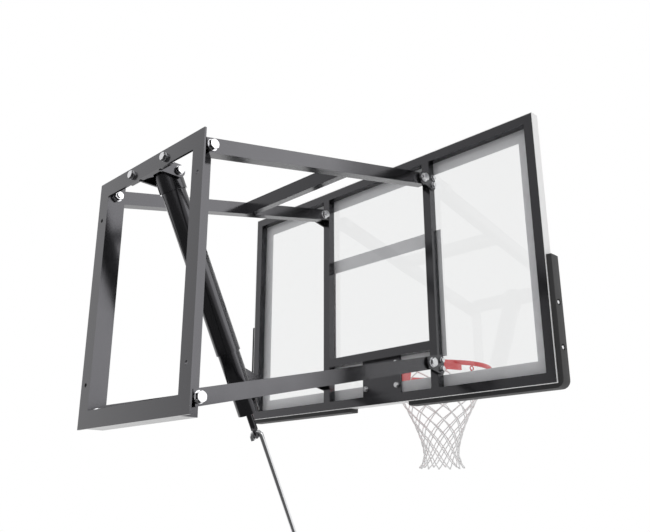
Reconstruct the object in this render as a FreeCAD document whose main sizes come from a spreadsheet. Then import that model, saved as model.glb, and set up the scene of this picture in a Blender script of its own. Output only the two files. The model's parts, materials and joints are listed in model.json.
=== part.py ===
import FreeCAD, Part
import math
import os
import re

# Wall-mounted, height-adjustable basketball backboard, in millimetres.
# X runs along the wall, Z is up, the wall plane is Y = 0 and the board's playing face looks along -Y.
# The origin is the middle of the four wall bolts. Everything stands in the pose of the photograph.

SIZES = {
    # wall frame, of angle iron
    "frame_width": 628,
    "frame_height": 872,
    "angle_flange": 58,
    "angle_web": 65,
    "angle_wall": 7,
    "wall_bolt_spread": 572,
    "wall_bolt_rise": 584,
    "wall_bolt_hole": 14,
    # arms and their pivots
    "arm_length": 1086,
    "arm_slope": 12.5,
    "arm_face": 50,
    "arm_breadth": 44,
    "arm_wall": 3,
    "arm_heel": 16,
    "arm_toe": 25,
    "pivot_depth": 34,
    "pivot_height": 386,
    "pivot_bolt": 20,
    "running_gap": 0.05,
    "spacer_gap": 1.5,
    "brace_reach": 617,
    "brace_depth": 44,
    # board frame and panel
    "board_width": 1600,
    "board_height": 1022,
    "tube_face": 36,
    "tube_depth": 33,
    "tube_wall": 2.5,
    "mullion_outer": 312,
    "crossbar_drop": 306,
    "panel_thick": 8,
    "trim_wall": 2,
    # hinge plates on the board
    "hinge_reach": 44,
    "hinge_plate": 6,
    "hinge_nose": 26,
    "hinge_tail": 16,
    "hinge_bolt_rise": 33,
    "hinge_tail_rise": 44,
    "hinge_bolt": 12,
    # edge pads
    "pad_side": 22,
    "pad_below": 18,
    "pad_front": 14,
    "pad_lip": 16,
    "pad_setback": 5,
    "pad_rise": 456,
    "pad_end": 158,
    "pad_corner": 30,
    "pad_screw": 8,
    "pad_screw_depth": 26,
    "pad_bore": 21,
    "pad_recess": 9,
    "pad_screw_low": 120,
    "pad_screw_high": 280,
    # rim
    "ring_bore": 450,
    "ring_bar": 20,
    "ring_reach": 380,
    "ring_drop": 325,
    "rim_plate_width": 206,
    "rim_plate_height": 150,
    "rim_plate_thick": 6,
    "rim_bolt": 12,
    "rim_bolt_spread": 168,
    "rim_bolt_rise": 92,
    "rim_bolt_margin": 27,
    "wing_height": 40,
    "wing_wall": 6,
    "wing_foot": 46,
    "wing_spread": 62,
    "hook_loop": 9,
    "hook_wire": 2.5,
    # net
    "net_length": 393,
    "net_waist": 151,
    "net_tail": 194,
    "net_cord": 5,
    # jack
    "jack_depth": 80,
    "jack_height": 398,
    "jack_collar": 96,
    "jack_collar_above": 20,
    "jack_collar_below": 56,
    "jack_outer": 85,
    "jack_outer_end": 637,
    "jack_inner": 76,
    "jack_inner_end": 857,
    "jack_overlap": 260,
    "jack_wall": 3,
    "jack_guide": 30,
    "jack_pin": 16,
    "ear_gap": 8,
    "ear_wall": 8,
    "ear_radius": 23,
    "clevis_width": 236,
    "clevis_bolt_spread": 196,
    "clevis_bolt": 16,
    # jack's foot, on the lower arms
    "foot_reach": 476,
    "foot_out": 69,
    "foot_top": 664,
    "foot_shoulder": 758,
    "foot_nose": 25,
    "foot_plate": 10,
    "foot_bolt": 16,
    "foot_play": 6,
    "lug_wall": 8,
    "crossmember_reach": 524,
    # screw shaft and crank
    "shaft_width": 24,
    "shaft_end": 918,
    "eye_drop": 8,
    "eye_ring": 17,
    "eye_wire": 7,
    "crank_rod": 17,
    "crank_tip": 8,
    "crank_neck": 60,
    "crank_length": 860,
    "crank_throw": 170,
    "crank_grip": 150,
    "crank_bend": 30,
    "crank_turn": 45,
    "grip_width": 28,
    # shared by all fasteners
    "washer_thick": 3,
    "fit_gap": 0.3,
    "overrun": 5,
}

# Hexagon and washer sizes as shares of a bolt's width, for every bolt alike
HEAD_SHARE = 0.65
NUT_SHARE = 0.8
ACROSS_SHARE = 0.9
CROWN_SHARE = 0.76
FLARE_SHARE = 1.73
WASHER_SHARE = 0.95
TAIL_SHARE = 0.25

# Net: columns of diamonds, rows, and the share of its length at which the waist lies
NET_COLUMNS = 12
NET_ROWS = 7
WAIST_SHARE = 0.78
NET_TOP_SHARE = 0.98
NET_FALL_POWER = 1.25

SIDES = {"left": -1, "right": 1}
LEVELS = {"upper": 1, "lower": -1}

AXIS_TURNS = {
    "x": FreeCAD.Rotation(FreeCAD.Vector(0, 1, 0), 90),
    "-x": FreeCAD.Rotation(FreeCAD.Vector(0, 1, 0), -90),
    "y": FreeCAD.Rotation(FreeCAD.Vector(1, 0, 0), -90),
    "z": FreeCAD.Rotation(),
}

# Places worked out from the sizes, as formulas
ARM_INNER = "(frame_width/2 - angle_flange + angle_wall + spacer_gap)"
ARM_OUTER = f"({ARM_INNER} + arm_breadth)"
ARM_RUN = "(arm_length*cos(arm_slope))"
BOARD_BACK = f"(-(pivot_depth + {ARM_RUN} + hinge_reach))"
BOARD_MIDDLE = "(arm_length*sin(arm_slope))"
PANEL_FRONT = "(tube_depth + panel_thick)"
RING_MIDDLE = "((ring_bore + ring_bar)/2)"
JACK_RUN = "(pivot_depth + foot_reach*cos(arm_slope) - jack_depth)"
JACK_DROP = "(jack_height + pivot_height - foot_reach*sin(arm_slope))"
JACK_SPAN = f"sqrt({JACK_RUN}^2 + {JACK_DROP}^2)"
JACK_TILT = f"(asin(foot_out/{JACK_SPAN}) - atan({JACK_RUN}/{JACK_DROP}))"
JACK_LENGTH = f"sqrt({JACK_SPAN}^2 - foot_out^2)"
RIM_PLATE_TOP = "(crossbar_drop + tube_face/2)"

doc = FreeCAD.newDocument("backboard")
sheet = doc.addObject("Spreadsheet::Sheet", "Sizes")
handed_in = []


def fill_sheet():
    """Writes every driving size into its own named cell."""
    for row, (name, size) in enumerate(SIZES.items(), start=1):
        sheet.set(f"A{row}", name)
        sheet.set(f"B{row}", str(size))
        sheet.setAlias(f"B{row}", name)
    doc.recompute()


def sized(formula):
    """Turns the names in a formula into references to the sheet's cells."""
    def reference(found):
        word = found.group()
        return f"Sizes.{word}" if word in SIZES else word

    return re.sub(r"[a-z]+(?:_[a-z]+)*", reference, formula)


def bind(item, **formulas):
    """Binds properties of an object to formulas; a double underscore stands for a dot."""
    for name, formula in formulas.items():
        item.setExpression(name.replace("__", "."), sized(formula))
    return item


def locate(item, at=("0", "0", "0"), turn=None):
    """Places an object at three formulas, after a fixed turn."""
    if turn is not None:
        item.Placement = FreeCAD.Placement(FreeCAD.Vector(), turn)
    for axis, formula in zip("xyz", at):
        if formula != "0":
            item.setExpression(f"Placement.Base.{axis}", sized(formula))
    return item


def tilt(item, at, angle):
    """Places an object built about its pivot: moved to the pivot and tilted about X by a formula."""
    item.Placement = FreeCAD.Placement(FreeCAD.Vector(), FreeCAD.Rotation(FreeCAD.Vector(1, 0, 0), 1))
    locate(item, at)
    item.setExpression("Placement.Rotation.Angle", sized(angle))
    return item


def box(name, size, at):
    item = doc.addObject("Part::Box", name)
    bind(item, Length=size[0], Width=size[1], Height=size[2])
    return locate(item, at)


def rod(name, radius, length, at, axis="z"):
    item = doc.addObject("Part::Cylinder", name)
    bind(item, Radius=radius, Height=length)
    return locate(item, at, AXIS_TURNS[axis])


def cut(name, base, *tools):
    item = doc.addObject("Part::Cut", name)
    item.Base = base
    item.Tool = tools[0] if len(tools) == 1 else fuse(f"{name}_tools", *tools)
    return item


def fuse(name, *shapes):
    item = doc.addObject("Part::MultiFuse", name)
    item.Shapes = list(shapes)
    return item


def group(name, shapes):
    """Gathers identical fasteners as separate solids of one sub-part."""
    item = doc.addObject("Part::Compound", name)
    item.Links = list(shapes)
    return item


def hand_in(item, label):
    """Marks an object as a sub-part and names its file."""
    item.Label = label
    handed_in.append(item)
    return item


def tube(name, size, at, wall, hollow):
    """A square tube: a box less its bore, which runs out along the axis named in hollow or is closed."""
    outer = box(f"{name}_outer", size, at)
    inset = [f"({part} - 2*{wall})" for part in size]
    start = [f"({place} + {wall})" for place in at]
    if hollow in "xyz":
        index = "xyz".index(hollow)
        inset[index] = f"({size[index]} + 2*overrun)"
        start[index] = f"({at[index]} - overrun)"
    return cut(name, outer, box(f"{name}_bore", inset, start))


def fastener(name, width, grip, at, axis, nut=True, spacer=None):
    """A hexagon bolt: head and washer outside the clamped faces, a washer and nut on the far side."""
    flange = f"{width}*{WASHER_SHARE}"
    below = f"(washer_thick + {width}*{NUT_SHARE})" if nut else "0"
    tail = f"({below} + {width}*{TAIL_SHARE})" if nut else "0"
    shank = f"({grip} + {tail} + washer_thick)"
    pieces = [
        rod(f"{name}_shank", f"{width}/2", shank, ("0", "0", f"(-{grip} - {tail})")),
        rod(f"{name}_washer", flange, "washer_thick", ("0", "0", "0")),
        hexagon(f"{name}_head", width, HEAD_SHARE, "washer_thick", upward=True),
    ]
    if nut:
        under = ("0", "0", f"(-{grip} - washer_thick)")
        pieces.append(rod(f"{name}_backer", flange, "washer_thick", under))
        pieces.append(hexagon(f"{name}_nut", width, NUT_SHARE, f"(-{grip} - {below})", upward=False))
    if spacer:
        depth, thick = spacer
        pieces.append(rod(f"{name}_spacer", flange, thick, ("0", "0", f"(-{depth})")))
    return locate(fuse(name, *pieces), at, AXIS_TURNS[axis])


def hexagon(name, width, height_share, start, upward):
    """A hexagon head or nut, its outer end chamfered by a cone on the same axis."""
    height = f"{width}*{height_share}"
    prism = doc.addObject("Part::Prism", f"{name}_prism")
    prism.Polygon = 6
    bind(prism, Circumradius=f"{width}*{ACROSS_SHARE}", Height=height)
    crown = f"{width}*{CROWN_SHARE}"
    flare = f"({crown} + {height}*{FLARE_SHARE})"
    low, high = (flare, crown) if upward else (crown, flare)
    cone = doc.addObject("Part::Cone", f"{name}_cone")
    bind(cone, Radius1=low, Radius2=high, Height=height)
    item = doc.addObject("Part::MultiCommon", name)
    item.Shapes = [locate(shape, ("0", "0", start)) for shape in (prism, cone)]
    return item


def value(formula):
    """The number that a formula gives, worked out in a spare cell of the sheet."""
    spare = f"D{len(SIZES) + 1}"
    sheet.set(spare, f"={formula}")
    sheet.recompute()
    result = float(sheet.get(spare))
    sheet.clear(spare)
    return result


def span(side, inner, outer):
    """Where a box on one side of the middle starts along X."""
    return inner if side == "right" else f"(-{outer})"


def outward(side):
    """The axis of a bolt whose head looks away from the middle."""
    return "x" if side == "right" else "-x"


def mirrored(side, formula):
    return formula if side == "right" else f"(-{formula})"


def on_board(x, depth, z):
    """A place on the board: depth is counted from the frame's back towards the players."""
    return (x, f"({BOARD_BACK} - {depth})", f"({BOARD_MIDDLE} + {z})")


def plane(body, role):
    """One of a body's own origin planes."""
    return next(item for item in body.Origin.OriginFeatures if item.Role == role)


def sketch_on(body, name, role, geometry):
    sketch = body.newObject("Sketcher::SketchObject", name)
    sketch.AttachmentSupport = [(plane(body, role), "")]
    sketch.MapMode = "FlatFace"
    sketch.addGeometry(geometry, False)
    return sketch


def pad_body(name, role, geometry, thickness, midplane=False):
    """A plate cut to an outline and padded to its thickness."""
    body = doc.addObject("PartDesign::Body", name)
    sketch = sketch_on(body, f"{name}_outline", role, geometry)
    pad = body.newObject("PartDesign::Pad", f"{name}_pad")
    pad.Profile = sketch
    pad.Midplane = midplane
    bind(pad, Length=thickness)
    return body


def point(x, y):
    return FreeCAD.Vector(x, y, 0)


def line(start, end):
    return Part.LineSegment(start, end)


def arc(centre, radius, start, end):
    """An arc that runs counter-clockwise between two angles in radians."""
    circle = Part.Circle(centre, FreeCAD.Vector(0, 0, 1), radius)
    return Part.ArcOfCircle(circle, start, end)


def polygon(points):
    return [line(start, end) for start, end in zip(points, points[1:] + points[:1])]


def upright(side):
    """An upright of angle iron: its flange lies on the wall, its web stands at the inner edge."""
    name = f"wall_upright_{side}"
    inner = "(frame_width/2 - angle_flange)"
    web_outer = f"({inner} + angle_wall)"
    web_start = span(side, inner, web_outer)
    flange = box(f"{name}_flange", ("angle_flange", "angle_wall", "frame_height"),
                 (span(side, inner, "(frame_width/2)"), "(-angle_wall)", "(-frame_height/2)"))
    web = box(f"{name}_web", ("angle_wall", "angle_web", "frame_height"),
              (web_start, "(-angle_web)", "(-frame_height/2)"))
    through = "(angle_wall + 2*overrun)"
    holes = []
    for level, sign in LEVELS.items():
        bolt = (mirrored(side, "(wall_bolt_spread/2)"), "(-angle_wall - overrun)",
                f"({sign}*wall_bolt_rise/2)")
        holes.append(rod(f"{name}_{level}_bolt_hole", "wall_bolt_hole/2", through, bolt, "y"))
        pivot = (f"({web_start} - overrun)", "(-pivot_depth)", f"({sign}*pivot_height)")
        holes.append(rod(f"{name}_{level}_pivot_hole", "(pivot_bolt/2 + running_gap)", through, pivot, "x"))
    hand_in(cut(name, fuse(f"{name}_angle", flange, web), *holes), name)


def wall_rail(level):
    """A rail of angle iron between the uprights, with its web at the outer edge of the frame."""
    name = "wall_top_rail" if level == "upper" else "wall_bottom_rail"
    half = "(frame_width/2 - angle_flange)"
    low = {"upper": "(frame_height/2 - angle_flange)", "lower": "(-frame_height/2)"}[level]
    web_low = {"upper": "(frame_height/2 - angle_wall)", "lower": "(-frame_height/2)"}[level]
    flange = box(f"{name}_flange", (f"2*{half}", "angle_wall", "angle_flange"),
                 (f"(-{half})", "(-angle_wall)", low))
    web = box(f"{name}_web", (f"2*{half}", "angle_web", "angle_wall"),
              (f"(-{half})", "(-angle_web)", web_low))
    rail = fuse(f"{name}_angle", flange, web)
    if level == "upper":
        rail = cut(name, rail, *clevis_holes(f"{name}_hole"))
    hand_in(rail, name)


CLEVIS_BOLT_HEIGHT = "(frame_height/2 - angle_flange/2)"
EAR_INNER = "(jack_collar/2 + ear_gap)"
EAR_OUTER = f"({EAR_INNER} + ear_wall)"


def clevis_holes(name):
    """Cutters for the two bolts that hold the jack's bracket to the top rail."""
    depth = "(angle_wall + ear_wall + 2*overrun)"
    start = "(-angle_wall - ear_wall - overrun)"
    return [rod(f"{name}_{side}", "(clevis_bolt/2 + running_gap)", depth,
                (mirrored(side, "(clevis_bolt_spread/2)"), start, CLEVIS_BOLT_HEIGHT), "y")
            for side in SIDES]


def clevis():
    """The jack's top bracket: a plate under the top rail with two ears, its bolts and its pin."""
    plate = box("clevis_plate", ("clevis_width", "ear_wall", "(angle_flange - angle_wall - fit_gap)"),
                ("(-clevis_width/2)", "(-angle_wall - ear_wall)", "(frame_height/2 - angle_flange)"))
    pieces = [plate]
    for side in SIDES:
        start = span(side, EAR_INNER, EAR_OUTER)
        pieces.append(box(f"clevis_ear_{side}", ("ear_wall", "(jack_depth - angle_wall)", "2*ear_radius"),
                          (start, "(-jack_depth)", "(jack_height - ear_radius)")))
        pieces.append(rod(f"clevis_round_{side}", "ear_radius", "ear_wall",
                          (start, "(-jack_depth)", "jack_height"), "x"))
    bore = rod("clevis_bore", "(jack_pin/2 + running_gap)", f"(2*{EAR_OUTER} + 2*overrun)",
               (f"(-{EAR_OUTER} - overrun)", "(-jack_depth)", "jack_height"), "x")
    bracket = cut("jack_clevis", fuse("clevis_body", *pieces), bore, *clevis_holes("clevis_hole"))
    hand_in(bracket, "jack_clevis")
    bolts = [fastener(f"clevis_bolt_{side}", "clevis_bolt", "(angle_wall + ear_wall)",
                      (mirrored(side, "(clevis_bolt_spread/2)"), "0", CLEVIS_BOLT_HEIGHT), "y")
             for side in SIDES]
    hand_in(group("clevis_bolts", bolts), "clevis_bolts")
    pin = fastener("clevis_pin", "jack_pin", f"(2*{EAR_OUTER})",
                   (f"(-{EAR_OUTER})", "(-jack_depth)", "jack_height"), "-x")
    hand_in(pin, "clevis_pin")


def wall_pivots(level):
    """The two bolts that an arm pair turns on, each with a spacer between arm and upright."""
    grip = "(arm_breadth + spacer_gap + angle_wall)"
    height = f"({LEVELS[level]}*pivot_height)"
    bolts = [fastener(f"{level}_wall_pivot_{side}", "pivot_bolt", grip,
                      (mirrored(side, ARM_OUTER), "(-pivot_depth)", height), outward(side),
                      spacer=("(arm_breadth + spacer_gap)", "spacer_gap"))
             for side in SIDES]
    hand_in(group(f"{level}_wall_pivots", bolts), f"{level}_wall_pivots")


def arm(level, side):
    """A square tube, open at both ends, with a pivot hole near each end. Built along -Y from its pivot."""
    name = f"{level}_arm_{side}"
    start = span(side, ARM_INNER, ARM_OUTER)
    shell = tube(f"{name}_tube", ("arm_breadth", "(arm_heel + arm_length + arm_toe)", "arm_face"),
                 (start, "(-arm_length - arm_toe)", "(-arm_face/2)"), "arm_wall", "y")
    holes = [rod(f"{name}_{end}_hole", "(pivot_bolt/2 + running_gap)", "(arm_breadth + 2*overrun)",
                 (f"({start} - overrun)", place, "0"), "x")
             for end, place in (("heel", "0"), ("toe", "(-arm_length)"))]
    hand_in(on_arms(cut(name, shell, *holes), level), name)


def on_arms(item, level):
    """Puts a piece built about the wall pivot on the sloping arms."""
    return tilt(item, ("0", "(-pivot_depth)", f"({LEVELS[level]}*pivot_height)"), "(-arm_slope)")


def upper_brace():
    """The tube that joins the two upper arms."""
    brace = tube("upper_brace", (f"2*{ARM_INNER}", "brace_depth", "arm_face"),
                 (f"(-{ARM_INNER})", "(-brace_reach - brace_depth)", "(-arm_face/2)"), "arm_wall", "x")
    hand_in(on_arms(brace, "upper"), "upper_brace")


LUG_INNER = "(foot_plate/2 + spacer_gap)"
LUG_OUTER = f"({LUG_INNER} + lug_wall)"


def lower_crossmember():
    """The tube that joins the two lower arms, and on it the two lugs and the bolt of the jack's foot."""
    member = tube("lower_crossmember", (f"2*{ARM_INNER}", "brace_depth", "arm_face"),
                  (f"(-{ARM_INNER})", "(-crossmember_reach - brace_depth)", "(-arm_face/2)"),
                  "arm_wall", "x")
    hand_in(on_arms(member, "lower"), "lower_crossmember")
    for side in SIDES:
        start = span(side, LUG_INNER, LUG_OUTER)
        strap = box(f"lug_strap_{side}", ("lug_wall", "(crossmember_reach - foot_reach)", "arm_face"),
                    (start, "(-crossmember_reach)", "(-arm_face/2)"))
        nose = rod(f"lug_nose_{side}", "arm_face/2", "lug_wall", (start, "(-foot_reach)", "0"), "x")
        hole = rod(f"lug_hole_{side}", "(foot_bolt/2 + running_gap)", "(lug_wall + 2*overrun)",
                   (f"({start} - overrun)", "(-foot_reach)", "0"), "x")
        lug = cut(f"jack_lug_{side}", fuse(f"lug_body_{side}", strap, nose), hole)
        hand_in(on_arms(lug, "lower"), f"jack_lug_{side}")
    place = (f"(-{LUG_OUTER})", "(-pivot_depth - foot_reach*cos(arm_slope))",
             "(-pivot_height + foot_reach*sin(arm_slope))")
    hand_in(fastener("jack_foot_bolt", "foot_bolt", f"(2*{LUG_OUTER})", place, "-x"), "jack_foot_bolt")


def board_frame():
    """The welded frame of the board: stiles, rails, two mullions and the crossbar above the rim's plate."""
    inner = "(board_width/2 - tube_face)"
    clear = "(board_height - 2*tube_face)"
    half = "(mullion_outer - tube_face)"
    for side in SIDES:
        stile = tube(f"stile_{side}", ("tube_face", "tube_depth", "board_height"),
                     on_board(span(side, inner, "(board_width/2)"), "tube_depth", "(-board_height/2)"),
                     "tube_wall", "closed")
        name = f"board_stile_{side}"
        hand_in(cut(name, stile, *pad_screw_holes(f"{name}_hole", side)), name)
        mullion = tube(f"mullion_{side}", ("tube_face", "tube_depth", clear),
                       on_board(span(side, half, "mullion_outer"), "tube_depth", f"(-{clear}/2)"),
                       "tube_wall", "z")
        name = f"board_mullion_{side}"
        hand_in(cut(name, mullion, *hinge_bolt_holes(f"{name}_hole", side)), name)
    for name, low in (("board_top_rail", "(board_height/2 - tube_face)"),
                      ("board_bottom_rail", "(-board_height/2)")):
        rail = tube(name, (f"2*{inner}", "tube_depth", "tube_face"),
                    on_board(f"(-{inner})", "tube_depth", low), "tube_wall", "x")
        hand_in(rail, name)
    crossbar = tube("board_crossbar", (f"2*{half}", "tube_depth", "tube_face"),
                    on_board(f"(-{half})", "tube_depth", "(-crossbar_drop - tube_face/2)"), "tube_wall", "x")
    hand_in(crossbar, "board_crossbar")


def edge_trims():
    """The white strips over the outer edges of frame and panel, all round the board."""
    edge = "(board_width/2)"
    for side in SIDES:
        name = f"edge_trim_{side}"
        start = span(side, edge, f"({edge} + trim_wall)")
        strip = box(f"{name}_strip", ("trim_wall", PANEL_FRONT, "board_height"),
                    on_board(start, PANEL_FRONT, "(-board_height/2)"))
        hand_in(cut(name, strip, *pad_screw_holes(f"{name}_hole", side)), name)
    for name, low in (("edge_trim_top", "(board_height/2)"),
                      ("edge_trim_bottom", "(-board_height/2 - trim_wall)")):
        strip = box(name, (f"(2*{edge} + 2*trim_wall)", PANEL_FRONT, "trim_wall"),
                    on_board(f"(-{edge} - trim_wall)", PANEL_FRONT, low))
        hand_in(strip, name)


HINGE_BOLT_DEPTH = "(tube_depth/2)"


def hinge_bolt_places(side):
    """The places of the four bolts that hold a mullion's two hinge plates, on the plates' outer face."""
    outer = mirrored(side, "(mullion_outer + hinge_plate)")
    for level, sign in LEVELS.items():
        for row, step in LEVELS.items():
            height = f"({sign}*pivot_height + {step}*hinge_bolt_rise/2)"
            yield f"{level}_{row}", on_board(outer, HINGE_BOLT_DEPTH, height)


def hinge_bolt_holes(name, side):
    """Cutters through a hinge plate and the wall of the mullion behind it."""
    length = "(hinge_plate + tube_wall + 2*overrun)"
    cutters = []
    for tag, (x, y, z) in hinge_bolt_places(side):
        start = f"({x} - hinge_plate - tube_wall - overrun)" if side == "right" else f"({x} - overrun)"
        cutters.append(rod(f"{name}_{tag}", "(hinge_bolt/2 + running_gap)", length, (start, y, z), "x"))
    return cutters


def teardrop():
    """The outline of a hinge plate: the hull of the round nose and of two round tails on the mullion."""
    run = value("hinge_reach + tube_depth/2")
    rise = value("hinge_tail_rise/2")
    nose = SIZES["hinge_nose"]
    tail = SIZES["hinge_tail"]
    lean = math.atan2(rise, run)
    spread = math.acos((nose - tail) / math.hypot(run, rise))
    normal = math.pi - lean - spread
    upper = point(-run, rise)
    lower = point(-run, -rise)
    middle = point(0, 0)

    def on(centre, radius, angle):
        return centre + point(radius * math.cos(angle), radius * math.sin(angle))

    return [
        arc(middle, nose, -normal, normal),
        line(on(middle, nose, normal), on(upper, tail, normal)),
        arc(upper, tail, normal, math.pi),
        line(on(upper, tail, math.pi), on(lower, tail, math.pi)),
        arc(lower, tail, math.pi, 2 * math.pi - normal),
        line(on(lower, tail, -normal), on(middle, nose, -normal)),
    ]


def hinge_plate(level, side):
    """A plate on the outer side of a mullion that holds an arm's board end."""
    name = f"hinge_plate_{level}_{side}"
    body = pad_body(f"{name}_blank", "YZ_Plane", teardrop(), "hinge_plate")
    start = span(side, "mullion_outer", "(mullion_outer + hinge_plate)")
    locate(body, on_board(start, "(-hinge_reach)", f"({LEVELS[level]}*pivot_height)"))
    x, y, z = on_board(f"({start} - overrun)", "(-hinge_reach)", f"({LEVELS[level]}*pivot_height)")
    pivot = rod(f"{name}_pivot", "(pivot_bolt/2 + running_gap)", "(hinge_plate + 2*overrun)", (x, y, z), "x")
    hand_in(cut(name, body, pivot, *hinge_bolt_holes(f"{name}_hole", side)), name)


def hinge_fasteners():
    """The bolts of the hinge plates and the four pivot bolts at the board's end of the arms."""
    small = []
    pivots = []
    gap = f"(mullion_outer - {ARM_OUTER})"
    grip = f"(hinge_plate + {gap} + arm_breadth)"
    for side in SIDES:
        for tag, place in hinge_bolt_places(side):
            small.append(fastener(f"hinge_bolt_{side}_{tag}", "hinge_bolt", "(hinge_plate + tube_face/2)",
                                  place, outward(side), nut=False))
        outer = mirrored(side, "(mullion_outer + hinge_plate)")
        for level, sign in LEVELS.items():
            place = on_board(outer, "(-hinge_reach)", f"({sign}*pivot_height)")
            pivots.append(fastener(f"board_pivot_{side}_{level}", "pivot_bolt", grip, place, outward(side),
                                   spacer=(f"(hinge_plate + {gap})", gap)))
    hand_in(group("hinge_bolts", small), "hinge_bolts")
    hand_in(group("board_pivots", pivots), "board_pivots")


def rim_bolt_places():
    """The four rim bolts on the face of the rim's plate, as side, row, x and z on the board."""
    low = "(-ring_drop + ring_bar/2 - rim_plate_height + rim_bolt_margin)"
    for side in SIDES:
        for row, height in (("low", low), ("high", f"({low} + rim_bolt_rise)")):
            yield side, row, mirrored(side, "(rim_bolt_spread/2)"), height


def rim_bolt_holes(name):
    length = "(tube_depth + panel_thick + rim_plate_thick + 2*overrun)"
    return [rod(f"{name}_{side}_{row}", "(rim_bolt/2 + running_gap)", length,
                on_board(x, f"({PANEL_FRONT} + rim_plate_thick + overrun)", z), "y")
            for side, row, x, z in rim_bolt_places()]


def panel():
    """The clear panel on the front of the frame and the steel plate behind it that carries the rim."""
    sheet_box = box("panel_blank", ("board_width", "panel_thick", "board_height"),
                    on_board("(-board_width/2)", PANEL_FRONT, "(-board_height/2)"))
    hand_in(cut("clear_panel", sheet_box, *rim_bolt_holes("panel_hole")), "clear_panel")
    top = f"(-{RIM_PLATE_TOP})"
    low = "(-board_height/2 + tube_face)"
    plate = box("rim_back_blank", ("rim_plate_width", "rim_plate_thick", f"({top} - {low})"),
                on_board("(-rim_plate_width/2)", "tube_depth", low))
    hand_in(cut("rim_back_plate", plate, *rim_bolt_holes("rim_back_hole")), "rim_back_plate")


SCREW_FLOOR = "(pad_side - pad_recess)"


def edge_pad(side):
    """An L-shaped pad round a lower corner, with a lip over the playing face and a round outer corner."""
    name = f"edge_pad_{side}"
    depth = f"({PANEL_FRONT} + pad_front)"
    inner = "(board_width/2 + trim_wall)"
    outer = "(board_width/2 + pad_side)"
    low = "(-board_height/2 - pad_below)"
    full = f"({depth} - pad_setback)"
    top = "(pad_below + pad_rise)"
    long = f"({outer} - pad_end)"
    foot_start = span(side, "pad_end", outer)
    leg = box(f"{name}_leg", ("(pad_side - trim_wall)", full, top),
              on_board(span(side, inner, outer), depth, low))
    foot = box(f"{name}_foot", (long, full, "(pad_below - trim_wall)"), on_board(foot_start, depth, low))
    leg_lip = box(f"{name}_leg_lip", ("(pad_side + pad_lip)", "pad_front", top),
                  on_board(span(side, "(board_width/2 - pad_lip)", outer), depth, low))
    foot_lip = box(f"{name}_foot_lip", (long, "pad_front", "(pad_below + pad_lip)"),
                   on_board(foot_start, depth, low))
    corner_start = span(side, f"({outer} - pad_corner)", f"({outer} + overrun)")
    corner = box(f"{name}_corner",
                 ("(pad_corner + overrun)", f"({full} + 2*overrun)", "(pad_corner + overrun)"),
                 on_board(corner_start, f"({depth} + overrun)", f"({low} - overrun)"))
    bend_middle = mirrored(side, f"({outer} - pad_corner)")
    bend = rod(f"{name}_bend", "pad_corner", f"({full} + 4*overrun)",
               on_board(bend_middle, f"({depth} + 2*overrun)", f"({low} + pad_corner)"), "y")
    waste = cut(f"{name}_waste", corner, bend)
    body = fuse(f"{name}_body", leg, foot, leg_lip, foot_lip)
    openings = pad_screw_holes(f"{name}_hole", side) + pad_recesses(f"{name}_recess", side)
    hand_in(cut(name, body, waste, *openings), name)


def pad_screw_places(side):
    """The places of a pad's two screws, on the floors of their recesses."""
    floor = mirrored(side, f"(board_width/2 + {SCREW_FLOOR})")
    for tag, height in (("low", "pad_screw_low"), ("high", "pad_screw_high")):
        yield tag, on_board(floor, "pad_screw_depth", f"(-board_height/2 + {height})")


def pad_recesses(name, side):
    """Cutters for the round recesses that take the heads of a pad's screws."""
    length = "(pad_recess + overrun)"
    cutters = []
    for tag, (x, y, z) in pad_screw_places(side):
        start = x if side == "right" else f"({x} - {length})"
        cutters.append(rod(f"{name}_{tag}", "pad_bore/2", length, (start, y, z), "x"))
    return cutters


def pad_screw_holes(name, side):
    """Cutters through a pad, the trim under it and the wall of the stile."""
    length = f"({SCREW_FLOOR} + tube_wall + 2*overrun)"
    cutters = []
    for tag, (x, y, z) in pad_screw_places(side):
        start = f"({x} + overrun - {length})" if side == "right" else f"({x} - overrun)"
        cutters.append(rod(f"{name}_{tag}", "(pad_screw/2 + running_gap)", length, (start, y, z), "x"))
    return cutters


def pad_screws():
    grip = f"({SCREW_FLOOR} + tube_face/2)"
    screws = [fastener(f"pad_screw_{side}_{tag}", "pad_screw", grip, place, outward(side), nut=False)
              for side in SIDES for tag, place in pad_screw_places(side)]
    hand_in(group("pad_screws", screws), "pad_screws")


def torus(name, radius, bar, at, turn=None):
    item = doc.addObject("Part::Torus", name)
    bind(item, Radius1=radius, Radius2=bar)
    return locate(item, at, turn)


RING_PLACE = on_board("0", f"({PANEL_FRONT} + ring_reach)", "(-ring_drop)")
WING_START = "(rim_plate_width/2 - wing_wall/2)"
WING_ACROSS = f"({RING_MIDDLE}*sin(wing_spread) - {WING_START})"
WING_ALONG = f"(ring_reach - {RING_MIDDLE}*cos(wing_spread) - rim_plate_thick)"


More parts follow.
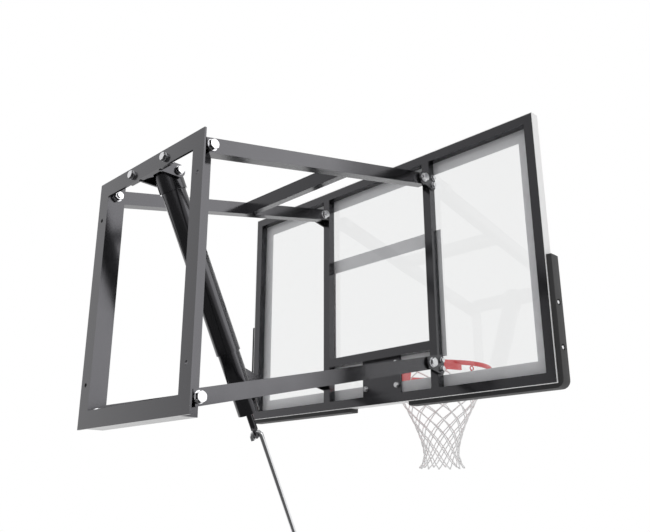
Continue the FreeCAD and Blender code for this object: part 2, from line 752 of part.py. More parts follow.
def rim():
    """The ring, its front plate with a flared wing to each side, the net's wire loops and the four bolts."""
    hand_in(torus("rim_ring", RING_MIDDLE, "ring_bar/2", RING_PLACE), "rim_ring")
    top = "(-ring_drop + ring_bar/2)"
    front = f"({PANEL_FRONT} + rim_plate_thick)"
    plate = box("rim_plate_blank", ("rim_plate_width", "rim_plate_thick", "rim_plate_height"),
                on_board("(-rim_plate_width/2)", front, f"({top} - rim_plate_height)"))
    hand_in(cut("rim_front_plate", plate, *rim_bolt_holes("rim_plate_hole")), "rim_front_plate")
    for side in SIDES:
        blank = wing(side, f"({top} - wing_wall/2)")
        cope = torus(f"wing_cope_{side}", RING_MIDDLE, "ring_bar/2", RING_PLACE)
        low = f"({top} - rim_plate_height - overrun)"
        seat = box(f"wing_seat_{side}",
                   ("(rim_plate_width + 2*overrun)", "rim_plate_thick", "(rim_plate_height + overrun)"),
                   on_board("(-rim_plate_width/2 - overrun)", front, low))
        hand_in(cut(f"rim_wing_{side}", blank, cope, seat), f"rim_wing_{side}")
    hand_in(group("net_loops", [net_loop(index) for index in range(NET_COLUMNS)]), "net_loops")
    grip = f"({PANEL_FRONT} + rim_plate_thick - tube_depth + rim_plate_thick)"
    bolts = [fastener(f"rim_bolt_{side}_{row}", "rim_bolt", grip,
                      on_board(x, "(tube_depth - rim_plate_thick)", z), "y")
             for side, row, x, z in rim_bolt_places()]
    hand_in(group("rim_bolts", bolts), "rim_bolts")


def net_loop(index):
    """A wire loop under the ring, one of a round of equal steps, that carries the net."""
    angle = 360 * (index + 0.5) / NET_COLUMNS
    turn = FreeCAD.Rotation(FreeCAD.Vector(0, 0, 1), angle).multiply(AXIS_TURNS["x"])
    x, y, z = RING_PLACE
    place = (f"({RING_MIDDLE}*cos({angle}))", f"({y} + {RING_MIDDLE}*sin({angle}))",
             f"({z} - hook_loop - hook_wire - ring_bar/2)")
    return torus(f"net_loop_{index}", "hook_loop", "hook_wire", place, turn)


def wing(side, top):
    """A wing of the rim: a plate that is deep at the board and flares out to the ring's side."""
    long = math.hypot(value(WING_ACROSS), value(WING_ALONG))
    foot = SIZES["wing_foot"]
    deep = value("rim_plate_height - wing_wall/2")
    slim = SIZES["wing_height"]
    low = [point(0, -deep), point(foot / 2, -deep), point(foot, -slim), point(long, -slim)]
    outline = polygon([point(0, 0), *low, point(long, 0)])
    body = pad_body(f"rim_wing_{side}_blank", "XZ_Plane", outline, "wing_wall", midplane=True)
    lean = f"atan({WING_ALONG}/{WING_ACROSS})"
    body.Placement = FreeCAD.Placement(FreeCAD.Vector(), FreeCAD.Rotation(FreeCAD.Vector(0, 0, 1), -1))
    locate(body, on_board(mirrored(side, WING_START), f"({PANEL_FRONT} + rim_plate_thick)", top))
    angle = f"(-{lean})" if side == "right" else f"({lean} - 180 deg)"
    body.setExpression("Placement.Rotation.Angle", sized(angle))
    return body


def net_radius(share):
    """The net's radius down its length: a wide mouth, a waist and a flared tail."""
    mouth = value(RING_MIDDLE) * NET_TOP_SHARE
    waist = SIZES["net_waist"] / 2
    tail = SIZES["net_tail"] / 2
    if share < WAIST_SHARE:
        fall = 1 - share / WAIST_SHARE
        return waist + (mouth - waist) * fall ** NET_FALL_POWER
    rise = (share - WAIST_SHARE) / (1 - WAIST_SHARE)
    return waist + (tail - waist) * rise ** 2


def net():
    """The hanging net as one knotted wall: a turned hourglass with rows of diamonds cut through it."""
    length = SIZES["net_length"]
    cord = SIZES["net_cord"]
    steps = 2 * NET_ROWS
    half_row = length / steps

    def line_of(offset):
        return [FreeCAD.Vector(net_radius(step / steps) + offset, 0, -half_row * step)
                for step in range(steps + 1)]

    outer = line_of(cord / 2)
    wall = Part.Face(Part.makePolygon(outer + line_of(-cord / 2)[::-1] + outer[:1]))
    shell = wall.revolve(FreeCAD.Vector(), FreeCAD.Vector(0, 0, 1), 360)
    knot = cord * math.sqrt(2) / 2
    reach = value(f"{RING_MIDDLE} + overrun")
    cutters = []
    for step in range(1, steps):
        half_width = net_radius(step / steps) * math.tan(math.pi / NET_COLUMNS) - knot
        half_height = half_row - knot
        corners = [(half_width, 0), (0, half_height), (-half_width, 0), (0, -half_height)]
        for column in range(NET_COLUMNS):
            points = [FreeCAD.Vector(0, across, along - half_row * step) for across, along in corners]
            diamond = Part.Face(Part.makePolygon(points + points[:1])).extrude(FreeCAD.Vector(reach, 0, 0))
            turn = 360 * (column + step % 2 / 2) / NET_COLUMNS
            diamond.rotate(FreeCAD.Vector(), FreeCAD.Vector(0, 0, 1), turn)
            cutters.append(diamond)
    item = doc.addObject("Part::Feature", "net")
    item.Shape = shell.cut(cutters)
    x, y, z = RING_PLACE
    locate(item, (x, y, f"({z} - ring_bar/2 - 2*(hook_loop + hook_wire) - fit_gap)"))
    hand_in(item, "net")


def on_jack(item):
    """Puts a piece built down from the jack's pin on the leaning jack."""
    return tilt(item, ("0", "(-jack_depth)", "jack_height"), JACK_TILT)


def jack_top():
    """The upper half of the jack, which hangs from the clevis: collar, outer tube, guide in its mouth."""
    collar = rod("collar_blank", "jack_collar/2", "(jack_collar_above + jack_collar_below)",
                 ("0", "0", "(-jack_collar_below)"))
    bore = rod("collar_bore", "(jack_pin/2 + running_gap)", "(jack_collar + 2*overrun)",
               ("(-jack_collar/2 - overrun)", "0", "0"), "x")
    hand_in(on_jack(cut("jack_collar", collar, bore)), "jack_collar")
    length = "(jack_outer_end - jack_collar_below)"
    end = ("0", "0", "(-jack_outer_end)")
    past_end = ("0", "0", "(-jack_outer_end - overrun)")
    outer = rod("outer_blank", "jack_outer/2", length, end)
    hollow = rod("outer_hollow", "(jack_outer/2 - jack_wall)", f"({length} + 2*overrun)", past_end)
    hand_in(on_jack(cut("jack_outer_tube", outer, hollow)), "jack_outer_tube")
    ring = rod("guide_blank", "(jack_outer/2 - jack_wall)", "jack_guide", end)
    passage = rod("guide_bore", "(jack_inner/2 + running_gap)", "(jack_guide + 2*overrun)", past_end)
    hand_in(on_jack(cut("jack_guide", ring, passage)), "jack_guide")


def foot_outline():
    """The outline of the jack's foot ear: a sloping top edge, a round nose about the bolt, a flat end."""
    out = SIZES["foot_out"]
    nose = SIZES["foot_nose"]
    along = value(JACK_LENGTH)
    low = -along - nose
    corners = [point(0, low), point(0, -SIZES["foot_top"]), point(-out - nose, -SIZES["foot_shoulder"]),
               point(-out - nose, -along)]
    sides = [line(start, end) for start, end in zip(corners, corners[1:])]
    bend = arc(point(-out, -along), nose, math.pi, 1.5 * math.pi)
    return [*sides, bend, line(point(-out, low), corners[0])]


def jack_bottom():
    """The lower half of the jack, which slides in the upper: a tube with a closed end and an ear."""
    start = "(-jack_inner_end)"
    length = "(jack_inner_end - jack_outer_end + jack_overlap)"
    body = rod("inner_blank", "jack_inner/2", length, ("0", "0", start))
    hollow = rod("inner_hollow", "(jack_inner/2 - jack_wall)", f"({length} + overrun)",
                 ("0", "0", f"({start} + jack_wall)"))
    hole = rod("inner_hole", "(shaft_width/2 + running_gap)", "(jack_wall + 2*overrun)",
               ("0", "0", f"({start} - overrun)"))
    hand_in(on_jack(cut("jack_inner_tube", body, hollow, hole)), "jack_inner_tube")
    plate = pad_body("jack_ear_blank", "YZ_Plane", foot_outline(), "foot_plate", midplane=True)
    cope = rod("ear_cope", "jack_inner/2", "jack_inner_end", ("0", "0", start))
    eye = rod("ear_hole", "(foot_bolt/2 + foot_play)", "(foot_plate + 2*overrun)",
              ("(-foot_plate/2 - overrun)", "(-foot_out)", f"(-{JACK_LENGTH})"), "x")
    hand_in(on_jack(cut("jack_ear", plate, cope, eye)), "jack_ear")


def screw_shaft():
    """The shaft that the crank turns: a round bar out of the jack's lower end with an eye."""
    bar = rod("shaft_bar", "shaft_width/2", "(shaft_end - jack_inner_end + jack_guide)",
              ("0", "0", "(-shaft_end)"))
    quarter = FreeCAD.Rotation(FreeCAD.Vector(0, 0, 1), SIZES["crank_turn"])
    facing = quarter.multiply(AXIS_TURNS["x"])
    eye = torus("shaft_eye", "eye_ring", "eye_wire", ("0", "0", "(-shaft_end - eye_drop)"), facing)
    hand_in(on_jack(fuse("screw_shaft", bar, eye)), "screw_shaft")


def crank_piece(name, width, path, start):
    """A round bar swept along a path, which lies in the crank's own plane."""
    body = doc.addObject("PartDesign::Body", name)
    spine = sketch_on(body, f"{name}_path", "XZ_Plane", path)
    x, height = start
    profile = body.newObject("Sketcher::SketchObject", f"{name}_section")
    profile.AttachmentSupport = [(plane(body, "XY_Plane"), "")]
    profile.MapMode = "FlatFace"
    profile.AttachmentOffset = FreeCAD.Placement(FreeCAD.Vector(0, 0, height), FreeCAD.Rotation())
    profile.addGeometry(Part.Circle(point(x, 0), FreeCAD.Vector(0, 0, 1), width / 2), False)
    pipe = body.newObject("PartDesign::AdditivePipe", f"{name}_pipe")
    pipe.Profile = profile
    pipe.Spine = spine
    return on_crank(body)


def on_crank(item):
    """Puts a crank piece under the eye, turned about the jack's axis."""
    lean = FreeCAD.Rotation(FreeCAD.Vector(1, 0, 0), value(JACK_TILT))
    swing = FreeCAD.Rotation(FreeCAD.Vector(0, 0, 1), SIZES["crank_turn"] + 180)
    base = FreeCAD.Vector(0, -SIZES["jack_depth"], SIZES["jack_height"])
    hang = FreeCAD.Vector(0, 0, -value("shaft_end + eye_drop + eye_ring"))
    item.Placement = FreeCAD.Placement(base + lean.multVec(hang), lean.multiply(swing))
    return item


def crank():
    """The hand crank: a hook over the eye's lower side, a long rod with a throw, and a grip."""
    wire = SIZES["crank_rod"]
    bend = SIZES["eye_wire"] + wire / 2 + SIZES["fit_gap"]
    neck = SIZES["crank_neck"]
    stub = SIZES["crank_tip"]
    hook = [
        line(point(-bend, -stub), point(-bend, 0)),
        arc(point(0, 0), bend, 0, math.pi),
        line(point(bend, 0), point(bend, -neck)),
    ]
    hand_in(crank_piece("crank_hook", wire, hook, (-bend, -stub)), "crank_hook")
    turn = SIZES["crank_bend"]
    foot = -neck - SIZES["crank_length"]
    side = bend + SIZES["crank_throw"]
    low = foot - SIZES["crank_grip"]
    path = [
        line(point(bend, -neck), point(bend, foot + turn)),
        arc(point(bend + turn, foot + turn), turn, math.pi, 1.5 * math.pi),
        line(point(bend + turn, foot), point(side - turn, foot)),
        arc(point(side - turn, foot - turn), turn, 0, 0.5 * math.pi),
        line(point(side, foot - turn), point(side, low)),
    ]
    hand_in(crank_piece("crank_rod", wire, path, (bend, -neck)), "crank_rod")
    sleeve = rod("grip_blank", "grip_width/2", "(crank_grip - crank_bend)", ("0", "0", "0"))
    bore = rod("grip_bore", "crank_rod/2", "(crank_grip + 2*overrun)", ("0", "0", "(-overrun)"))
    grip = on_crank(cut("crank_grip", sleeve, bore))
    seat = FreeCAD.Placement(FreeCAD.Vector(side, 0, low), FreeCAD.Rotation())
    grip.Placement = grip.Placement.multiply(seat)
    hand_in(grip, "crank_grip")


def write_parts():
    """Rebuilds the document, checks every object and writes each sub-part to its own file."""
    doc.recompute()
    for item in doc.Objects:
        if "Invalid" in item.State or "Error" in item.State:
            raise RuntimeError(f"{item.Label} is in a bad state")
    os.makedirs("parts", exist_ok=True)
    for item in handed_in:
        if item.Shape.isNull() or not item.Shape.isValid():
            raise RuntimeError(f"{item.Label} has no valid shape")
        item.Shape.exportStep(f"parts/{item.Label}.step")


def main():
    fill_sheet()
    for side in SIDES:
        upright(side)
    for level in LEVELS:
        wall_rail(level)
        wall_pivots(level)
        for side in SIDES:
            arm(level, side)
            hinge_plate(level, side)
    clevis()
    upper_brace()
    lower_crossmember()
    board_frame()
    hinge_fasteners()
    panel()
    edge_trims()
    for side in SIDES:
        edge_pad(side)
    pad_screws()
    rim()
    net()
    jack_top()
    jack_bottom()
    screw_shaft()
    crank()
    write_parts()


main()
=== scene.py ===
import json
import logging
import math
from dataclasses import dataclass
from enum import Enum

import bmesh
import bpy
import numpy as np
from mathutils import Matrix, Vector


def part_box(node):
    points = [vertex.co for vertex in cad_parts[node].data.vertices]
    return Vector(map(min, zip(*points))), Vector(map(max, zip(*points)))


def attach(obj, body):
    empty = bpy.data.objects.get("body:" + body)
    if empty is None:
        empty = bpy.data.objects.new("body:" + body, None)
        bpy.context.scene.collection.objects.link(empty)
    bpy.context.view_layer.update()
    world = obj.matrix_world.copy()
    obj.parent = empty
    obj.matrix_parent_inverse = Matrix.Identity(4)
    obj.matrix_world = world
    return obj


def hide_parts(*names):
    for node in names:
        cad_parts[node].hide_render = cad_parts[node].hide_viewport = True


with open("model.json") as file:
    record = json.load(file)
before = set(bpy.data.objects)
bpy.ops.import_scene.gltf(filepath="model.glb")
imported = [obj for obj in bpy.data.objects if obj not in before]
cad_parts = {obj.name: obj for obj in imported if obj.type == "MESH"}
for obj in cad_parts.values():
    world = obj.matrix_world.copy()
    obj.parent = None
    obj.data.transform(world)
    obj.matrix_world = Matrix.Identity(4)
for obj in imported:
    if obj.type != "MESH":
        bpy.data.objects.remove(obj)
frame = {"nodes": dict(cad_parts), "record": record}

LOG = logging.getLogger("backboard")
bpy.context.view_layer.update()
Color = tuple[float, float, float]
Place = tuple[float, float, float]
COOL: Color = (0.95, 0.94, 1.0)
WHITE = (1.0, 1.0, 1.0, 1.0)
# Noise seldom leaves this part of 0 to 1, so a finish's range is spread over it.
MASK_LOW = 0.3
MASK_HIGH = 0.7
BUMP_STRENGTH = 0.6
FULL_TURN = 2 * math.pi
QUARTER_TURN = math.pi / 2


class Side(Enum):
    """The two sides of the board, as the sign of X."""

    LEFT = -1
    RIGHT = 1


class Lay(Enum):
    """The two ways that the net's cords run round it."""

    WITH = 1
    AGAINST = -1


def add_node(tree: bpy.types.NodeTree, kind: str, **values: object) -> bpy.types.Node:
    """Add a node and set its properties or its input sockets by name.

    Args:
        tree: The node tree that gets the node.
        kind: Blender's name of the node type.
        values: Properties in lower case, or input sockets with underscores for spaces.

    Returns:
        The new node.
    """
    node = tree.nodes.new(kind)
    for key, value in values.items():
        if hasattr(node, key):
            setattr(node, key, value)
        else:
            node.inputs[key.replace("_", " ")].default_value = value
    return node


def new_group(name: str, inputs: list[str], outputs: list[str]) -> tuple:
    """Start a shader node group with named number sockets.

    Args:
        name: The group's name.
        inputs: The input sockets.
        outputs: The output sockets.

    Returns:
        The group's tree, its input node and its output node.
    """
    tree = bpy.data.node_groups.new(name, "ShaderNodeTree")
    for way, labels in (("INPUT", inputs), ("OUTPUT", outputs)):
        for label in labels:
            tree.interface.new_socket(label, in_out=way, socket_type="NodeSocketFloat")
    return tree, tree.nodes.new("NodeGroupInput"), tree.nodes.new("NodeGroupOutput")


def skin_group() -> bpy.types.NodeTree:
    """Build the skin of a sprayed or moulded coat: fine dimples, and a slow drift of gloss.

    Returns:
        A group with the outputs Dimple, for a bump's height, and Drift, from 0 to 1.
    """
    tree, entry, leave = new_group("coat_skin", ["Grain", "Patch"], ["Dimple", "Drift"])
    place = tree.nodes.new("ShaderNodeTexCoord")
    fine = add_node(tree, "ShaderNodeTexNoise", Detail=2.0, Roughness=0.5)
    slow = add_node(tree, "ShaderNodeTexNoise", Detail=4.0, Roughness=0.6)
    tree.links.new(place.outputs["Object"], fine.inputs["Vector"])
    tree.links.new(place.outputs["Object"], slow.inputs["Vector"])
    tree.links.new(entry.outputs["Grain"], fine.inputs["Scale"])
    tree.links.new(entry.outputs["Patch"], slow.inputs["Scale"])
    tree.links.new(fine.outputs["Fac"], leave.inputs["Dimple"])
    tree.links.new(slow.outputs["Fac"], leave.inputs["Drift"])
    return tree


def rub_group() -> bpy.types.NodeTree:
    """Build the rubbed look of handled metal: short streaks along Z over a slow patchiness.

    Returns:
        A group with the outputs Streak and Patch, both from 0 to 1.
    """
    tree, entry, leave = new_group("rubbed_metal", ["Streaks", "Stretch"], ["Streak", "Patch"])
    place = tree.nodes.new("ShaderNodeTexCoord")
    join = add_node(tree, "ShaderNodeCombineXYZ", X=1.0, Y=1.0)
    squeeze = add_node(tree, "ShaderNodeVectorMath", operation="MULTIPLY")
    streak = add_node(tree, "ShaderNodeTexNoise", Detail=3.0, Roughness=0.6)
    patch = add_node(tree, "ShaderNodeTexNoise", Scale=40.0, Detail=5.0, Roughness=0.65)
    tree.links.new(entry.outputs["Stretch"], join.inputs["Z"])
    tree.links.new(place.outputs["Object"], squeeze.inputs[0])
    tree.links.new(join.outputs["Vector"], squeeze.inputs[1])
    tree.links.new(squeeze.outputs["Vector"], streak.inputs["Vector"])
    tree.links.new(entry.outputs["Streaks"], streak.inputs["Scale"])
    tree.links.new(place.outputs["Object"], patch.inputs["Vector"])
    tree.links.new(streak.outputs["Fac"], leave.inputs["Streak"])
    tree.links.new(patch.outputs["Fac"], leave.inputs["Patch"])
    return tree


def blank_material(name: str) -> tuple[bpy.types.Material, bpy.types.NodeTree, bpy.types.Node]:
    """Start a material that is only a principled shader.

    Args:
        name: The material's name.

    Returns:
        The material, its node tree and its principled shader.
    """
    material = bpy.data.materials.new(name)
    material.use_nodes = True
    tree = material.node_tree
    tree.nodes.clear()
    shader = tree.nodes.new("ShaderNodeBsdfPrincipled")
    leave = tree.nodes.new("ShaderNodeOutputMaterial")
    tree.links.new(shader.outputs["BSDF"], leave.inputs["Surface"])
    return material, tree, shader


def ramp(tree: bpy.types.NodeTree, factor: object, low: object, high: object) -> object:
    """Spread a mask from 0 to 1 between two numbers or two colours.

    Args:
        tree: The material's tree.
        factor: The socket that gives the mask.
        low: The number at the mask's low end, or the colour at 0.
        high: The number at the mask's high end, or the colour at 1.

    Returns:
        The socket that gives the result.
    """
    if isinstance(low, tuple):
        node = add_node(tree, "ShaderNodeMix", data_type="RGBA")
        node.inputs[6].default_value = (*low, 1.0)
        node.inputs[7].default_value = (*high, 1.0)
        tree.links.new(factor, node.inputs["Factor"])
        return node.outputs[2]
    node = add_node(tree, "ShaderNodeMapRange", From_Min=MASK_LOW, From_Max=MASK_HIGH, To_Min=low,
                    To_Max=high)
    tree.links.new(factor, node.inputs["Value"])
    return node.outputs["Result"]


def use_group(tree: bpy.types.NodeTree, group: bpy.types.NodeTree, **values: float) -> bpy.types.Node:
    """Place a node group in a material with its own values.

    Args:
        tree: The material's tree.
        group: The group to place.
        values: Numbers for the group's inputs.

    Returns:
        The group's node.
    """
    node = tree.nodes.new("ShaderNodeGroup")
    node.node_tree = group
    for label, value in values.items():
        node.inputs[label].default_value = value
    return node


def bump(tree: bpy.types.NodeTree, shader: bpy.types.Node, height: object, depth: float) -> None:
    """Feed a height to the shader's normal.

    Args:
        tree: The material's tree.
        shader: The principled shader.
        height: The socket that gives the height.
        depth: The bump's distance in metres.
    """
    node = add_node(tree, "ShaderNodeBump", Strength=BUMP_STRENGTH, Distance=depth)
    tree.links.new(height, node.inputs["Height"])
    tree.links.new(node.outputs["Normal"], shader.inputs["Normal"])


@dataclass(frozen=True)
class CoatFinish:
    """A sprayed or moulded coat, darker and lighter in slow patches, with a fine dimpled skin."""

    name: str
    deep: Color
    worn: Color
    smooth: float
    rough: float
    grain: float = 1100.0
    patch: float = 7.0
    depth: float = 0.00012
    gleam: float = 0.5
    tone: Color = (1.0, 1.0, 1.0)

    def material(self, skin: bpy.types.NodeTree) -> bpy.types.Material:
        """Make the material.

        Args:
            skin: The coat's node group.

        Returns:
            The material.
        """
        material, tree, shader = blank_material(self.name)
        coat = use_group(tree, skin, Grain=self.grain, Patch=self.patch)
        drift = coat.outputs["Drift"]
        tree.links.new(ramp(tree, drift, self.deep, self.worn), shader.inputs["Base Color"])
        tree.links.new(ramp(tree, drift, self.smooth, self.rough), shader.inputs["Roughness"])
        shader.inputs["Specular IOR Level"].default_value = self.gleam
        shader.inputs["Specular Tint"].default_value = (*self.tone, 1.0)
        bump(tree, shader, coat.outputs["Dimple"], self.depth)
        return material


@dataclass(frozen=True)
class MetalFinish:
    """Bare or plated metal with rubbed streaks."""

    name: str
    bright: Color
    dull: Color
    smooth: float
    rough: float
    streaks: float = 420.0
    stretch: float = 0.12
    depth: float = 0.00006

    def material(self, rub: bpy.types.NodeTree) -> bpy.types.Material:
        """Make the material.

        Args:
            rub: The rubbed metal's node group.

        Returns:
            The material.
        """
        material, tree, shader = blank_material(self.name)
        worn = use_group(tree, rub, Streaks=self.streaks, Stretch=self.stretch)
        streak = worn.outputs["Streak"]
        shade = ramp(tree, worn.outputs["Patch"], self.bright, self.dull)
        tree.links.new(shade, shader.inputs["Base Color"])
        tree.links.new(ramp(tree, streak, self.smooth, self.rough), shader.inputs["Roughness"])
        shader.inputs["Metallic"].default_value = 1.0
        bump(tree, shader, streak, self.depth)
        return material


@dataclass(frozen=True)
class ClearFinish:
    """The clear sheet of the board, with a faint bow in its surface."""

    name: str
    tint: Color
    index: float
    gleam: float
    smooth: float = 0.01
    rough: float = 0.03
    bow: float = 3.0
    patch: float = 25.0
    depth: float = 0.0006

    def material(self, skin: bpy.types.NodeTree) -> bpy.types.Material:
        """Make the material.

        Args:
            skin: The coat's node group, used for the sheet's slow waves.

        Returns:
            The material.
        """
        material, tree, shader = blank_material(self.name)
        shader.inputs["Base Color"].default_value = (*self.tint, 1.0)
        shader.inputs["Transmission Weight"].default_value = 1.0
        shader.inputs["IOR"].default_value = self.index
        shader.inputs["Specular IOR Level"].default_value = self.gleam
        wave = use_group(tree, skin, Grain=self.bow, Patch=self.patch)
        polish = ramp(tree, wave.outputs["Drift"], self.smooth, self.rough)
        tree.links.new(polish, shader.inputs["Roughness"])
        bump(tree, shader, wave.outputs["Dimple"], self.depth)
        return material


@dataclass(frozen=True)
class PrintFinish:
    """The print on the panel: a solid ink, a little uneven in tone."""

    name: str
    ink: Color
    pale: Color
    smooth: float = 0.34
    rough: float = 0.46
    grain: float = 1500.0
    patch: float = 18.0

    def material(self, skin: bpy.types.NodeTree) -> bpy.types.Material:
        """Make the material.

        Args:
            skin: The coat's node group, which gives the ink's unevenness.

        Returns:
            The material.
        """
        material, tree, shader = blank_material(self.name)
        film = use_group(tree, skin, Grain=self.grain, Patch=self.patch)
        shade = ramp(tree, film.outputs["Drift"], self.ink, self.pale)
        tree.links.new(shade, shader.inputs["Base Color"])
        polish = ramp(tree, film.outputs["Dimple"], self.smooth, self.rough)
        tree.links.new(polish, shader.inputs["Roughness"])
        return material


@dataclass(frozen=True)
class CordFinish:
    """Plaited cord: slanting plaits that follow the cord's own UV map, with painted shade in the furrows
    between the plaits and a soft sheen.
    """

    name: str
    crown: Color
    # Painted shade: the darker colour that the furrows between the plaits get.
    furrow_shade: Color
    smooth: float = 0.62
    rough: float = 0.85
    slant: float = 35.0
    plaits: float = 1.1
    fibres: float = 9.0
    sheen: float = 0.25
    depth: float = 0.0003

    def material(self) -> bpy.types.Material:
        """Make the material.

        Returns:
            The material.
        """
        material, tree, shader = blank_material(self.name)
        place = add_node(tree, "ShaderNodeUVMap", uv_map="run")
        turn = add_node(tree, "ShaderNodeMapping", vector_type="POINT")
        turn.inputs["Rotation"].default_value = (0.0, 0.0, math.radians(self.slant))
        plait = add_node(tree, "ShaderNodeTexWave", Scale=self.plaits, Distortion=0.6, Detail=1.0)
        fibre = add_node(tree, "ShaderNodeTexNoise", Scale=self.fibres, Detail=3.0)
        tree.links.new(place.outputs["UV"], turn.inputs["Vector"])
        tree.links.new(turn.outputs["Vector"], plait.inputs["Vector"])
        tree.links.new(place.outputs["UV"], fibre.inputs["Vector"])
        # The furrows are painted darker as shade where the plaits' bump is low; the crowns keep the cord's
        # own white.
        shade = ramp(tree, plait.outputs["Fac"], self.furrow_shade, self.crown)
        tree.links.new(shade, shader.inputs["Base Color"])
        polish = ramp(tree, fibre.outputs["Fac"], self.smooth, self.rough)
        tree.links.new(polish, shader.inputs["Roughness"])
        shader.inputs["Sheen Weight"].default_value = self.sheen
        bump(tree, shader, plait.outputs["Fac"], self.depth)
        return material


def grid_faces(rows: int, columns: int, wrap_rows: bool = False) -> np.ndarray:
    """Index the quads of a grid of points whose last column joins the first.

    Args:
        rows: The number of points along the first parameter.
        columns: The number of points along the second parameter.
        wrap_rows: Whether the last row joins the first too.

    Returns:
        An array of quads, four point numbers each.
    """
    u, v = np.meshgrid(np.arange(rows if wrap_rows else rows - 1), np.arange(columns), indexing="ij")
    next_u = (u + 1) % rows
    next_v = (v + 1) % columns
    corners = [u * columns + v, next_u * columns + v, next_u * columns + next_v, u * columns + next_v]
    return np.stack(corners, axis=-1).reshape(-1, 4)


def repeat_faces(one: np.ndarray, copies: int, points: int) -> np.ndarray:
    """Index the faces of equal shapes that follow each other in one array of points.

    Args:
        one: The quads of one shape.
        copies: The number of shapes.
        points: The number of points in a shape.

    Returns:
        The quads of all shapes.
    """
    return (one[None] + (np.arange(copies) * points)[:, None, None]).reshape(-1, 4)


def corner_grid(rows: int, columns: int) -> tuple[np.ndarray, np.ndarray]:
    """Number the rows and the columns at the four corners of each quad of a tube's grid.

    The columns run on past the last one, so that a pattern meets itself at the tube's seam.

    Args:
        rows: The number of rows of points.
        columns: The number of points round the tube.

    Returns:
        The rows and the columns, four for each quad.
    """
    u, v = np.meshgrid(np.arange(rows - 1), np.arange(columns), indexing="ij")
    return (np.stack([u, u + 1, u + 1, u], axis=-1).reshape(-1, 4),
            np.stack([v, v, v + 1, v + 1], axis=-1).reshape(-1, 4))


def mesh_piece(name: str, points: np.ndarray, faces: np.ndarray, body: str, finish: bpy.types.Material,
               uv: np.ndarray | None = None, smooth: bool = True) -> bpy.types.Object:
    """Make a piece from arrays, and let it ride on a body.

    Args:
        name: The piece's name.
        points: The points, three numbers each, in metres.
        faces: The quads.
        body: The body that carries the piece.
        finish: The material.
        uv: A pair of numbers for each corner of each face, if the material follows the surface.
        smooth: Whether the faces are shaded as a smooth surface.

    Returns:
        The new object.
    """
    mesh = bpy.data.meshes.new(name)
    mesh.from_pydata(points.reshape(-1, 3).tolist(), [], faces.tolist())
    mesh.polygons.foreach_set("use_smooth", np.full(len(mesh.polygons), smooth))
    if uv is not None:
        layer = mesh.uv_layers.new(name="run")
        layer.data.foreach_set("uv", uv.reshape(-1).astype(np.float32))
    mesh.validate()
    mesh.update()
    mesh.materials.append(finish)
    piece = bpy.data.objects.new(name, mesh)
    bpy.context.scene.collection.objects.link(piece)
    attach(piece, body)
    return piece


def merge_close(piece: bpy.types.Object, distance: float = 1e-5) -> None:
    """Merge a piece's points that coincide, and turn its faces outwards.

    Args:
        piece: The object.
        distance: How close two points are to be one, in metres.
    """
    work = bmesh.new()
    work.from_mesh(piece.data)
    bmesh.ops.remove_doubles(work, verts=work.verts, dist=distance)
    bmesh.ops.dissolve_degenerate(work, edges=work.edges, dist=distance)
    bmesh.ops.recalc_face_normals(work, faces=work.faces)
    work.to_mesh(piece.data)
    work.free()


def carve(piece: bpy.types.Object, cutter: bpy.types.Object) -> None:
    """Take one closed shape out of another, and delete the cutter.

    Args:
        piece: The object that is cut.
        cutter: The object that is taken out of it.
    """
    knife = piece.modifiers.new("recess", "BOOLEAN")
    knife.operation = "DIFFERENCE"
    knife.object = cutter
    bpy.context.view_layer.update()
    shaped = piece.evaluated_get(bpy.context.evaluated_depsgraph_get())
    before = piece.data
    after = bpy.data.meshes.new_from_object(shaped)
    piece.modifiers.remove(knife)
    piece.data = after
    after.name = before.name
    bpy.data.meshes.remove(before)
    bpy.data.objects.remove(cutter)


@dataclass
class Steelwork:
    """The rigid pieces that come from the CAD model and only get their finishes."""

    finishes: dict[str, bpy.types.Material]
    gloss: bpy.types.Material
    glossy: tuple[str, ...] = ("jack_collar", "jack_outer_tube", "jack_guide", "jack_inner_tube", "jack_ear",
                               "screw_shaft")

    def dress(self) -> int:
        """Give each CAD node the finish of its slot, and the jack's tubes their gloss.

        Returns:
            The number of nodes that were dressed.
        """
        slots = {entry["node"]: entry["material_slot"] for entry in frame["record"]["subparts"]}
        for name, piece in frame["nodes"].items():
            piece.data.materials.clear()
            piece.data.materials.append(self.gloss if name in self.glossy else self.finishes[slots[name]])
        return len(frame["nodes"])


